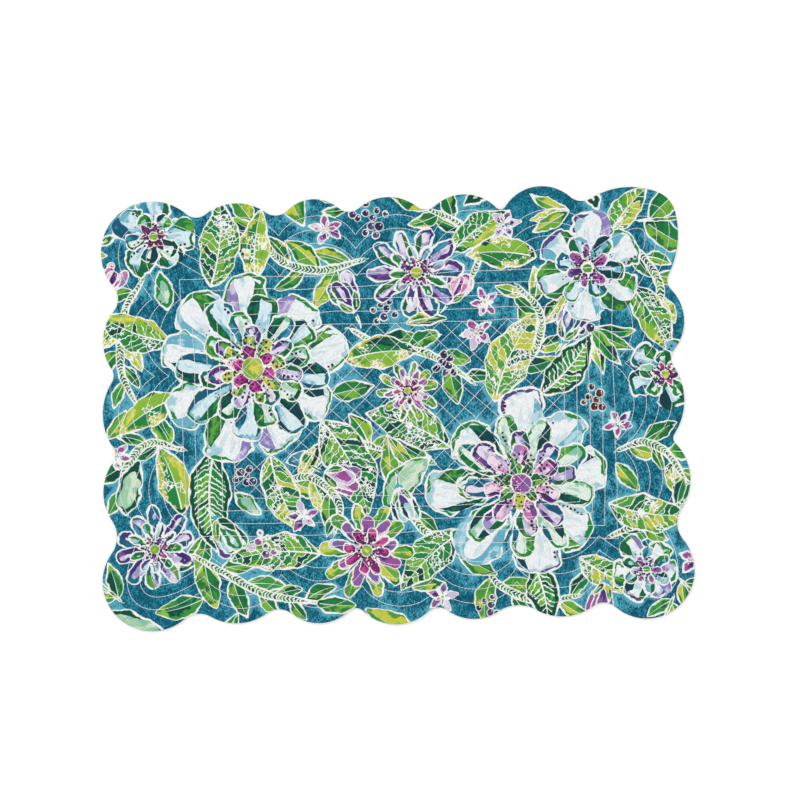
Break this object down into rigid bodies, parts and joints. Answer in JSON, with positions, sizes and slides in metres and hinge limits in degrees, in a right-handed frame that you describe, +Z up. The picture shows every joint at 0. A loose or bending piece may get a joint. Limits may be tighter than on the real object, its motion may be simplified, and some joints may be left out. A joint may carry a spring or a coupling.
{
  "type": "quilted placemat",
  "caption": "Flat quilted cotton placemat with a scalloped turned edge, echo, frame and diamond quilting, and a floral printed face.",
  "frame": {"origin": "middle of the outline's box, on the underside that rests on the table", "axes": "+X along the mat, +Y across it to the far edge, +Z up out of the printed face"},
  "size_m": [0.4922, 0.3616, 0.003],
  "materials": {
    "printed_cotton": "matt plain-weave printed cotton, teal ground with green, white and plum flowers and leaves",
    "quilting_thread": "matt cotton sewing thread, pale"
  },
  "bodies": {
    "root": {"mat": "printed_cotton"}
  },
  "joints": []
}
